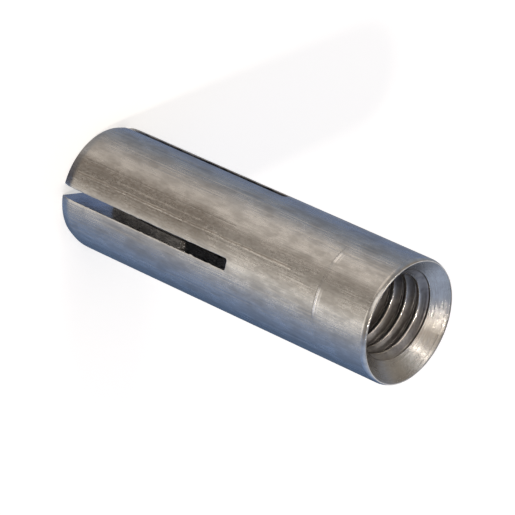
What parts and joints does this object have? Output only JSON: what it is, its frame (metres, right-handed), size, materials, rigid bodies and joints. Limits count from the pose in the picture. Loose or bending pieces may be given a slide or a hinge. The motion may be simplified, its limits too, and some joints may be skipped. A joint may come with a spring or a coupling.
{
  "type": "drop-in anchor",
  "caption": "Slotted steel sleeve anchor with an internal thread at its mouth and a loose wedge plug inside, set by driving the plug down.",
  "frame": {"origin": "middle of the slotted end, on which the anchor stands", "axes": "+Z along the axis, from the slotted end to the threaded mouth; the first saw cut lies in the YZ plane"},
  "size_m": [0.008, 0.008, 0.025],
  "materials": {
    "sleeve_steel": "plain drawn steel with faint draw marks along it, turned countersink",
    "plug_steel": "dull turned steel"
  },
  "bodies": {
    "root": {"sleeve": "sleeve_steel", "expander_plug": "plug_steel"}
  },
  "joints": []
}
